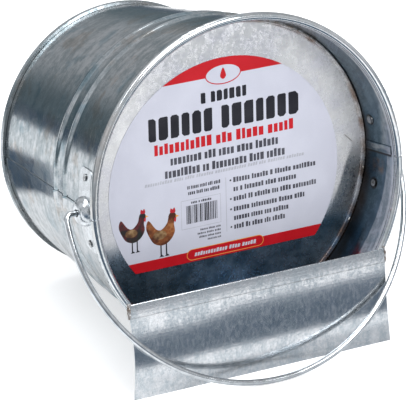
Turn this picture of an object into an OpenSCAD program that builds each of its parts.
// Bucket waterer for poultry: a galvanised pail laid on its side, with a leaning
// baffle that keeps the water behind it, a drinking trough behind a front panel
// and a wire bail. Millimetres, +Z up, the mouth faces -Y.

/* [Bucket] */
// Outer radius of the rolled rim round the mouth
rim_r = 109; // [104:0.5:114]
// Length from the rim's middle plane to the end face of the back ring
bucket_len = 174.8; // [165:0.5:185]
// Outer radius of the ring that closes the back end
ring_r = 88.6; // [86.6:0.5:90.6]
// Thickness of the galvanised sheet
sheet = 0.6; // [0.5:0.05:0.7]
// Lean of the bucket's axis: the mouth looks up by this many degrees
tilt = 9.4; // [8:0.05:11]
// Diameter of the wire rolled into the rim
rim_wire_d = 3.9; // [3.5:0.1:4.2]

/* [Wall beads] */
// Depth of the first bead behind the rim
bead_1 = 58.3; // [52:0.1:60]
// Depth of the second bead behind the rim
bead_2 = 75.2; // [72:0.1:80]
// Width of a bead
bead_w = 8; // [6:0.5:10]
// Height of a bead above the wall
bead_h = 1.3; // [0.8:0.1:1.8]
// Width of the lap outside, where the half shells meet, in degrees round the axis
seam_deg = 4; // [3:0.5:5]
// Width of the fold inside, above the same joint, in degrees round the axis
fold_deg = 3; // [2:0.5:4]

/* [Back end] */
// Depth of the bottom plate inside the back ring
bottom_recess = 7; // [6:0.5:10]
// Length of the back ring along the axis
ring_len = 3.6; // [3.2:0.1:5]

/* [Baffle] */
// Depth of the baffle's middle behind the rim's middle plane
baffle_y = 32.8; // [32:0.2:36]
// Lean of the baffle: its top is nearer to the mouth
baffle_lean = 6; // [5:0.5:6.5]
// Radius of the baffle over its flange
baffle_r = 100.3; // [99.8:0.1:100.4]
// Height of the baffle's flange
flange_h = 2.6; // [2:0.1:3.5]
// Distance from the baffle's middle down to the top of the water passage
passage_drop = 76; // [70:1:82]

/* [Label] */
// Radius of the round label
label_r = 81; // [75:0.5:84]
// Distance from the label's middle down to its straight lower edge
label_chord = 49.7; // [45:0.5:60]

/* [Trough panel] */
// Width of the trough panel
panel_w = 181.8; // [176:0.2:184]
// Distance from the bucket's axis down to the panel's top edge
panel_top = 57.4; // [54:0.1:60]
// Height of the hem folded over the panel's top edge
hem_h = 8.3; // [6:0.1:10]
// How far the panel's sides curve inwards
panel_waist = 1.5; // [0:0.1:3]
// How far the panel's middle bulges forwards
panel_bow = 1.2; // [0.5:0.1:1.5]

/* [Ears] */
// Depth of the ears, and of the bail's hinge, behind the rim's middle plane
ear_y = 20.5; // [19:0.1:21]
// Width of the ear's strap
ear_w = 20; // [16:0.5:21]
// Thickness of the ear's sheet
ear_t = 0.8; // [0.7:0.05:1]
// Distance of each rivet above or below the hinge
rivet_z = 20.8; // [19:0.1:23]
// Outer radius of the ear's hollow dome
dome_r = 9.5; // [9:0.1:10]
// Height of the dome above the bucket's wall
dome_h = 6.8; // [6.5:0.1:9]
// Radius of the strap's corners
ear_corner = 5; // [3:0.5:6]

/* [Bail] */
// Diameter of the bail's wire
bail_d = 3.8; // [3.4:0.1:4.2]
// Half of the distance between the bail's legs
bail_half = 116.2; // [116:0.1:118]
// Reach of the bail from its hinge to the middle of its far wire
bail_reach = 126.2; // [126:0.1:128]
// Radius of the bends that turn the bail's ends into the ears
bend_r = 4; // [3:0.5:5]

/* [Hidden] */
// Smoothness of large and of small round things
big_fn = 120;
small_fn = 32;
// Play between sheets that lie on each other
play = 0.05;
// Anything longer than the bucket is wide
far = 300;

// The rim's roll is the sheet round the wire with a little play
roll_bore = rim_wire_d / 2 + play;
roll_r = roll_bore + sheet;
roll_at = rim_r - roll_r;
// The wall is a cone, outside radius at the mouth and at the back
mouth_r = rim_r - 2 * roll_r + sheet;
back_r = ring_r - 2.4;
taper = (mouth_r - back_r) / bucket_len;
// The gap between the halves of the roll, in degrees either side of the joint
roll_gap = 0.35;
bead_steps = 10;
// The wall runs from inside the roll's sheet to the body hook
wall_start = 0.9;
wall_end = bucket_len - 0.9;

// Height of the ground below the middle of the mouth, from the back ring
ground = bucket_len * sin(tilt) + ring_r * cos(tilt);
panel_back = roll_r + play;
// The foot's rear corner touches the ground
foot = (ground + (panel_back - sheet) * sin(tilt)) / cos(tilt);
foot_hem = 6;
panel_h = foot - panel_top;

// The bail's far wire lies this far above the ground
bail_lift = 0.3;
bail_r = bail_d / 2;
bail_hang = acos((ground - ear_y * sin(tilt) - bail_r - bail_lift) / bail_reach);
bail_leg = bail_reach - bail_half;
bail_hole_r = bail_r + 0.6;

// The frame's origin is under the middle of the object's box, on the ground
front = ear_y * cos(tilt) - bail_reach * sin(bail_hang) - bail_r;
rear = bucket_len * cos(tilt) + ring_r * sin(tilt);
middle_y = (front + rear) / 2;

// The bail's and the ears' own sizes
ear_x = mouth_r - taper * ear_y;
dome_top_r = 3.6;
dome_skirt = 2.5;
// How far the strap runs past each rivet
strap_end = 5.5;
head_r = 3.2;
head_t = 1.6;
head_at = ear_x + dome_h - 3.4;

// Rivets
shank_r = 1.5;
rivet_head_r = 3.1;
rivet_head_h = 1.3;
rivet_ring_r = 2.3;
rivet_ring_h = 0.7;
rivet_bore_r = 0.8;
rivet_turn = asin(rivet_z / ear_x);

zinc = "silver";
zinc_dark = "lightslategray";
solder_grey = "darkgray";

function arc(x, y, r, a0, a1, n) =
    [for (i = [0:n]) let (a = a0 + (a1 - a0) * i / n) [x + r * cos(a), y + r * sin(a)]];

// Outside radius of the wall at a depth behind the mouth
function bump(y, at) = abs(y - at) < bead_w / 2 ? bead_h * (1 + cos(360 * (y - at) / bead_w)) / 2 : 0;
function wall_r(y) = mouth_r - taper * y + bump(y, bead_1) + bump(y, bead_2);
function bead_stations(at) = [for (i = [0:bead_steps]) at - bead_w / 2 + bead_w * i / bead_steps];
stations = concat(bead_stations(bead_1), bead_stations(bead_2));
function wall_stations(y0, y1) = concat([y0], [for (y = stations) if (y > y0 && y < y1) y], [y1]);

// Stands the bucket's own frame (axis along Y from the mouth) on the ground
module placed() {
    translate([0, -middle_y, ground])
        rotate([-tilt, 0, 0])
            children();
}

// Sweeps an outline of [radius, depth] round the bucket's axis; angle 0 is +X, 90 is the top
module revolve(from = 0, sweep = 360) {
    rotate([-90, 0, 0])
        rotate([0, 0, -from - sweep])
            rotate_extrude(angle = sweep, $fn = big_fn)
                children();
}

// A layer that follows the wall, between two offsets from its outside surface
module wall_layer(y0, y1, lower, upper) {
    ys = wall_stations(y0, y1);
    n = len(ys);
    polygon(concat(
        [for (y = ys) [wall_r(y) + upper, y]],
        [for (i = [n - 1:-1:0]) [wall_r(ys[i]) + lower, ys[i]]]
    ));
}

module inside_of_wall(gap, y0, y1) {
    revolve()
        polygon([[0, y0], [mouth_r - taper * y0 + gap, y0], [mouth_r - taper * y1 + gap, y1], [0, y1]]);
}

// A place on the wall at an angle round the axis, with Z along the wall's normal
module at_wall(angle, y) {
    rotate([0, -angle, 0])
        translate([wall_r(y), y, 0])
            rotate([0, 0, atan(taper)])
                rotate([0, 90, 0])
                    children();
}

module both_sides() {
    children();
    mirror([1, 0, 0])
        children();
}

// The body hook: the wall's end turned outwards and back inside the ring
module body_hook() {
    hook_r = ring_r - sheet - 2 * play;
    polygon([
        [wall_r(wall_end) - sheet, wall_end - sheet],
        [hook_r - sheet, wall_end - sheet],
        [hook_r - sheet, wall_end - ring_len + 1.6],
        [hook_r, wall_end - ring_len + 1.6],
        [hook_r, wall_end],
        [wall_r(wall_end) - sheet, wall_end]
    ]);
}

module roll() {
    translate([roll_at, 0])
        difference() {
            circle(r = roll_r, $fn = small_fn);
            circle(r = roll_bore, $fn = small_fn);
        }
}

// Half of the wall, from angle 0 to 180, with its half of the rolled rim
module half_shell() {
    revolve(0, 180) {
        wall_layer(wall_start, wall_end, -sheet, 0);
        body_hook();
    }
    revolve(roll_gap, 180 - 2 * roll_gap)
        roll();
}

module rivet_holes() {
    both_sides()
        for (side = [1, -1])
            at_wall(side * rivet_turn, ear_y)
                cylinder(r = shank_r + play, h = 8, center = true, $fn = small_fn);
}

// The upper half of the bucket; its edges lap over the lower half on the outside, and
// are folded back on the inside
module upper_shell() {
    lap_start = ear_y + ear_w / 2 + 1;
    lap_end = bucket_len - ring_len - 1;
    fold_start = roll_r + 0.6;
    fold_end = baffle_y - flange_h - 1.4;
    color(zinc)
        placed()
            difference() {
                union() {
                    half_shell();
                    both_sides() {
                        revolve(-seam_deg, seam_deg + 0.7)
                            wall_layer(lap_start, lap_end, 0, sheet);
                        revolve(0.2, fold_deg)
                            wall_layer(fold_start, fold_end, -2 * sheet, -sheet);
                    }
                }
                rivet_holes();
            }
}

// The lower half of the bucket
module lower_shell() {
    color(zinc)
        placed()
            difference() {
                mirror([0, 0, 1])
                    half_shell();
                rivet_holes();
            }
}

// The stiffening wire inside the rolled rim
module rim_wire() {
    color(zinc_dark)
        placed()
            revolve()
                translate([roll_at, 0])
                    circle(d = rim_wire_d, $fn = small_fn);
}

// The recessed bottom, with a skirt inside the wall and a ring folded round the body hook
module bottom_plate() {
    floor_y = bucket_len - bottom_recess;
    skirt = wall_r(floor_y) - sheet - play;
    skirt_end = wall_r(bucket_len) - sheet - play;
    swell_r = 62;
    swell_h = 1.5;
    under = bucket_len - ring_len;
    fold = 0.8;
    color(zinc)
        placed()
            revolve()
                polygon([
                    [0, floor_y - sheet + swell_h],
                    [swell_r - 3, floor_y - sheet + swell_h],
                    [swell_r, floor_y - sheet],
                    [skirt, floor_y - sheet],
                    [skirt_end, bucket_len - fold],
                    [ring_r - sheet, bucket_len - fold],
                    [ring_r - sheet, under + sheet],
                    [wall_r(under) + 0.2, under + sheet],
                    [wall_r(under) + 0.2, under],
                    [ring_r, under],
                    [ring_r, bucket_len],
                    [skirt_end - sheet, bucket_len],
                    [skirt - sheet, floor_y],
                    [swell_r + 0.2, floor_y],
                    [swell_r - 2.8, floor_y + swell_h],
                    [0, floor_y + swell_h]
                ]);
}

// The baffle's own frame: Z points to the mouth, Y up the plate
module on_baffle() {
    translate([0, baffle_y, 1])
        rotate([90 + baffle_lean, 0, 0])
            children();
}

module below(drop) {
    translate([-far / 2, -drop - far, -far / 2])
        cube([far, far, far]);
}

// The plate that stands between the reservoir and the trough, cut away below for the water
module baffle_plate() {
    corner = 1.6;
    lip_half = sqrt(pow(baffle_r, 2) - pow(passage_drop, 2)) - 5;
    profile = concat(
        [[0, -sheet]],
        arc(baffle_r - corner, corner - sheet, corner, -90, 0, 6),
        [[baffle_r, flange_h], [baffle_r - sheet, flange_h]],
        arc(baffle_r - corner, corner - sheet, corner - sheet, 0, -90, 6),
        [[0, 0]]
    );
    color(zinc)
        placed()
            on_baffle() {
                difference() {
                    rotate_extrude($fn = big_fn)
                        polygon(profile);
                    below(passage_drop);
                }
                translate([-lip_half, -passage_drop, 0])
                    cube([2 * lip_half, sheet, 3]);
            }
}

// Solder between the baffle's edge and the wall, all round above the water passage
module baffle_solder() {
    color(solder_grey)
        placed()
            intersection() {
                on_baffle()
                    difference() {
                        translate([0, 0, 1])
                            cylinder(r = baffle_r + 5, h = 1, center = true, $fn = big_fn);
                        cylinder(r = baffle_r + play / 2, h = 6, center = true, $fn = big_fn);
                        below(passage_drop);
                    }
                inside_of_wall(-sheet - play / 2, 0, 60);
            }
}

function heights(from, to, n) = [for (i = [0:n]) from + (to - from) * i / n];
// How far the panel stands forwards at a height: a parabola, highest in the middle
function bulge(z) = 4 * panel_bow * (z + foot) * (-panel_top - z) / pow(panel_h, 2);

// The panel from the side, depth and height, with a fold at its top and one behind its foot
module panel_profile() {
    hem_z = -panel_top - hem_h;
    foot_z = foot_hem - foot;
    polygon(concat(
        [for (z = heights(-foot, hem_z, 24)) [-sheet - bulge(z), z]],
        [for (z = heights(hem_z, -panel_top, 4)) [-2 * sheet - bulge(z), z]],
        arc(-sheet, -panel_top, sheet, 162, 18, 8),
        [for (z = heights(-panel_top, foot_z, 24)) [-bulge(z), z]],
        [for (z = heights(foot_z, -foot, 3)) [sheet - bulge(z), z]]
    ));
}

// The panel's outline from the front, a little taller than the panel
module panel_outline() {
    half = panel_w / 2;
    spare = 2;
    n = 10;
    side = concat(
        [[half, -foot - spare]],
        [for (i = [0:n]) [half - panel_waist * sin(180 * i / n), -foot + panel_h * i / n]],
        [[half, spare - panel_top]]
    );
    polygon(concat(side, [for (i = [len(side) - 1:-1:0]) [-side[i][0], side[i][1]]]));
}

// The front of the trough, which is also the bucket's front foot
module trough_panel() {
    color(zinc)
        placed()
            translate([0, -panel_back, 0])
                intersection() {
                    rotate([90, 0, 90])
                        linear_extrude(panel_w + 10, center = true)
                            panel_profile();
                    rotate([90, 0, 0])
                        linear_extrude(20, center = true)
                            panel_outline();
                }
}

// Solder in the two corners between the rim's roll and the panel's back
module panel_solder() {
    reach = asin(panel_top / roll_at) + 1;
    leg = 2;
    color(solder_grey)
        placed()
            revolve(180 + reach, 180 - 2 * reach)
                difference() {
                    for (side = [1, -1])
                        translate([roll_at, -panel_back + play / 2])
                            polygon([[side * 0.6, 0], [side * (leg + 0.6), 0], [side * (leg + 0.6), 1.2]]);
                    translate([roll_at, 0])
                        circle(r = roll_r + play / 2, $fn = small_fn);
                }
}

// The strap of an ear, seen along X, with Y as its width
module strap_outline() {
    y = ear_w / 2 - ear_corner;
    z = rivet_z + strap_end - ear_corner;
    n = 6;
    polygon(concat(
        arc(y, z, ear_corner, 0, 90, n),
        arc(-y, z, ear_corner, 90, 180, n),
        arc(-y, -z, ear_corner, 180, 270, n),
        arc(y, -z, ear_corner, 270, 360, n)
    ));
}

// A quarter ellipse turned round X: the ear's dome or its hollow
module dome(r, top_r, h) {
    translate([ear_x, ear_y, 0])
        rotate([0, 90, 0])
            rotate_extrude($fn = 64)
                polygon(concat(
                    [[0, -dome_skirt], [r, -dome_skirt]],
                    [for (a = [0:10:90]) [top_r + (r - top_r) * cos(a), h * sin(a)]],
                    [[0, h]]
                ));
}

// An ear on the +X side: a strap riveted to the wall, with a hollow dome for the bail's end
module ear() {
    color(zinc_dark)
        difference() {
            union() {
                intersection() {
                    revolve(-25, 50)
                        wall_layer(0, 40, play, play + ear_t);
                    translate([0, ear_y, 0])
                        rotate([90, 0, 90])
                            linear_extrude(far)
                                strap_outline();
                }
                difference() {
                    dome(dome_r, dome_top_r, dome_h);
                    inside_of_wall(3 * play, 0, 40);
                }
            }
            dome(dome_r - ear_t, dome_top_r, dome_h - ear_t);
            for (side = [1, -1])
                at_wall(side * rivet_turn, ear_y)
                    cylinder(r = shank_r + play, h = 8, center = true, $fn = small_fn);
            translate([ear_x, ear_y, 0])
                rotate([0, 90, 0])
                    cylinder(r = bail_hole_r, h = 20, $fn = small_fn);
        }
}

module right_ear() {
    placed()
        ear();
}

module left_ear() {
    placed()
        mirror([1, 0, 0])
            ear();
}

// A half-hollow rivet along Z, its round head up; the sheets lie from -grip to 0
module rivet(grip) {
    difference() {
        union() {
            rotate_extrude($fn = small_fn)
                polygon(concat(
                    [[0, 0]],
                    [for (a = [0:15:90]) [rivet_head_r * cos(a), rivet_head_h * sin(a)]]
                ));
            translate([0, 0, -grip - rivet_ring_h])
                cylinder(r = shank_r, h = grip + rivet_ring_h, $fn = small_fn);
            translate([0, 0, -grip - rivet_ring_h])
                cylinder(r = rivet_ring_r, h = rivet_ring_h, $fn = small_fn);
        }
        translate([0, 0, -grip - rivet_ring_h - 1])
            cylinder(r = rivet_bore_r, h = grip, $fn = small_fn);
    }
}

// A rivet through the ear and the wall, with its round head inside or outside the bucket
module ear_rivet(angle, head_inside) {
    out = ear_t + 2 * play;
    in = sheet + 2 * play;
    color(zinc)
        at_wall(angle, ear_y)
            if (head_inside)
                translate([0, 0, -in])
                    mirror([0, 0, 1])
                        rivet(out + in);
            else
                translate([0, 0, out])
                    rivet(out + in);
}

module right_upper_rivet() {
    placed()
        ear_rivet(rivet_turn, true);
}

module right_lower_rivet() {
    placed()
        ear_rivet(-rivet_turn, false);
}

module left_upper_rivet() {
    placed()
        mirror([1, 0, 0])
            ear_rivet(rivet_turn, true);
}

module left_lower_rivet() {
    placed()
        mirror([1, 0, 0])
            ear_rivet(-rivet_turn, true);
}

// The wire handle, with its headed ends caught inside the ears
module bail() {
    color(zinc)
        placed()
            translate([0, ear_y, 0])
                rotate([tilt - bail_hang, 0, 0]) {
                    translate([0, 0, -bail_leg])
                        revolve(180, 180)
                            translate([bail_half, 0])
                                circle(r = bail_r, $fn = small_fn);
                    both_sides()
                        bail_end();
                }
}

// One leg of the bail, its bend and the end that turns in the ear
module bail_end() {
    translate([bail_half, 0, -bail_leg])
        cylinder(r = bail_r, h = bail_leg - bend_r, $fn = small_fn);
    translate([bail_half - bend_r, 0, -bend_r])
        revolve(0, 90)
            translate([bend_r, 0])
                circle(r = bail_r, $fn = small_fn);
    pin = bail_half - bend_r - head_at;
    translate([head_at, 0, 0])
        rotate([0, 90, 0])
            rotate_extrude($fn = small_fn)
                polygon([[0, 0], [head_r, 0], [head_r, head_t], [bail_r, head_t], [bail_r, pin], [0, pin]]);
}

// The paper label on the baffle, round with a straight lower edge
module label() {
    paper = 0.2;
    drop = 3.7;
    color("aliceblue")
        placed()
            on_baffle()
                translate([0, -drop, play])
                    difference() {
                        cylinder(r = label_r, h = paper, $fn = big_fn);
                        below(label_chord);
                    }
}

upper_shell();
lower_shell();
rim_wire();
bottom_plate();
baffle_plate();
baffle_solder();
trough_panel();
panel_solder();
left_ear();
right_ear();
left_upper_rivet();
left_lower_rivet();
right_upper_rivet();
right_lower_rivet();
bail();
label();
